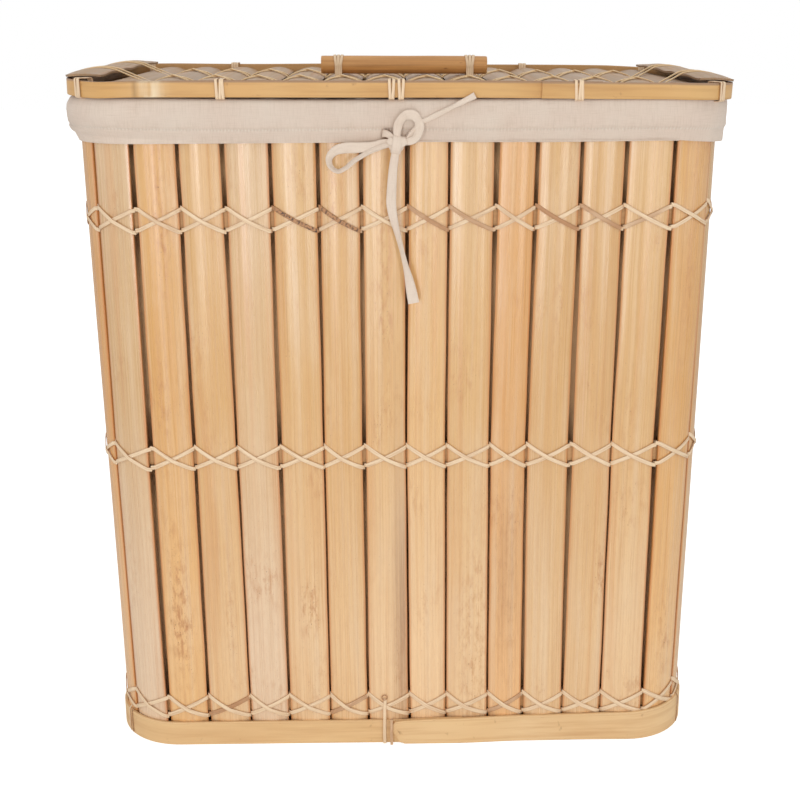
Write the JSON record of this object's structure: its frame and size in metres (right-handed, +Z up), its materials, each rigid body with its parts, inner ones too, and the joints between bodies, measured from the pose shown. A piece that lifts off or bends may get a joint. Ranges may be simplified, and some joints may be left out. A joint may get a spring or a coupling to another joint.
{
  "type": "laundry hamper",
  "caption": "Tapering split-bamboo laundry hamper with a lift-out cotton liner sewn into side-by-side bags, a tied drawstring and a lift-off lid with a bar handle.",
  "frame": {"origin": "middle of the footprint, on the surface that the hamper stands on", "axes": "+Z up, +X to the right seen from the front, the front faces -Y"},
  "size_m": [0.562, 0.3575, 0.6147],
  "materials": {
    "bamboo": "semi-gloss split bamboo skin",
    "band": "satin planed bamboo",
    "rod": "satin",
    "rattan": "matte split rattan",
    "cotton": "matte plain weave"
  },
  "bodies": {
    "basket": {"front_strip_01": "bamboo", "front_strip_02": "bamboo", "front_strip_03": "bamboo", "front_strip_04": "bamboo", "front_strip_05": "bamboo", "front_strip_06": "bamboo", "front_strip_07": "bamboo", "front_strip_08": "bamboo", "front_strip_09": "bamboo", "front_strip_10": "bamboo", "front_strip_11": "bamboo", "front_strip_12": "bamboo", "front_strip_13": "bamboo", "front_strip_14": "bamboo", "rim_inner_hoop_with_side_strips": "bamboo", "lower_inner_hoop": "bamboo", "middle_inner_hoop": "bamboo", "upper_inner_hoop": "bamboo", "rim_outer_band": "band", "base_outer_band": "band", "floor_panel": "bamboo", "lower_rising_strand": "rattan", "lower_falling_strand": "rattan", "middle_rising_strand": "rattan", "middle_falling_strand": "rattan", "upper_rising_strand": "rattan", "upper_falling_strand": "rattan", "base_front_tie": "rattan", "base_back_tie": "rattan"},
    "liner": {"liner_left_bag": "cotton", "liner_right_bag": "cotton", "liner_cuff": "cotton", "tape_knot": "cotton", "tape_left_loop": "cotton", "tape_ring_loop": "cotton", "tape_long_tail": "cotton", "tape_short_tail": "cotton"},
    "lid": {"lid_outer_band": "band", "lid_inner_hoop_with_strips": "bamboo", "lid_front_bar": "bamboo", "lid_back_bar": "bamboo", "lid_left_side_strip": "bamboo", "lid_right_side_strip": "bamboo", "lid_front_left_tie": "rattan", "lid_front_middle_tie": "rattan", "lid_front_right_tie": "rattan", "lid_back_left_tie": "rattan", "lid_back_right_tie": "rattan", "lid_corner_front_left_tie": "rattan", "lid_corner_front_right_tie": "rattan", "lid_corner_back_left_tie": "rattan", "lid_corner_back_right_tie": "rattan", "lid_front_rising_strand": "rattan", "lid_front_falling_strand": "rattan", "lid_back_rising_strand": "rattan", "lid_back_falling_strand": "rattan", "handle_rod": "rod", "handle_left_tie": "rattan", "handle_right_tie": "rattan"}
  },
  "joints": [
    {"name": "liner_lift", "type": "slide", "parent": "basket", "child": "liner", "axis": [0, 0, 1], "range_m": [0, 0.62]},
    {"name": "lid_lift", "type": "slide", "parent": "liner", "child": "lid", "axis": [0, 0, 1], "range_m": [0, 0.25]}
  ]
}
